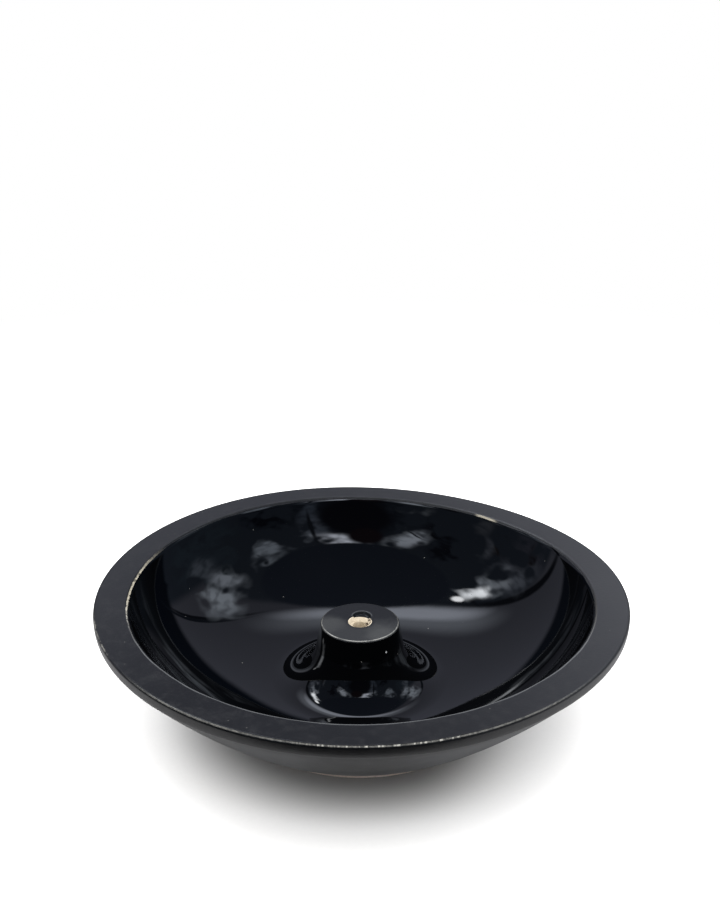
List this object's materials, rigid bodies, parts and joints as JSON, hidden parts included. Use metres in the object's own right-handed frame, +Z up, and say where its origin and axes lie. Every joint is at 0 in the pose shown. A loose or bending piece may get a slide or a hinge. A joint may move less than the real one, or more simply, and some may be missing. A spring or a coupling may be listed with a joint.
{
  "type": "incense burner",
  "caption": "Shallow round stoneware bowl with a flat rim and a tapered central post whose top holds an incense stick over the ash hollow.",
  "frame": {"origin": "centre of the foot ring, on the surface that the bowl stands on", "axes": "+Z up along the axis of the bowl and post; the bowl is round, so +X and +Y are any two level directions at right angles"},
  "size_m": [0.1316, 0.1316, 0.0326],
  "materials": {
    "bowl_glaze": "black glaze, glossy in the hollow, satin on the rim and outside",
    "post_glaze": "black glaze, satin on the top, glossy on the side",
    "coil_glaze": "glossy black glaze",
    "bare_clay": "unglazed fired clay, matt"
  },
  "bodies": {
    "root": {"bowl": "bowl_glaze", "foot_ring": "bare_clay", "stick_post": "post_glaze", "luting_coil": "coil_glaze"}
  },
  "joints": []
}
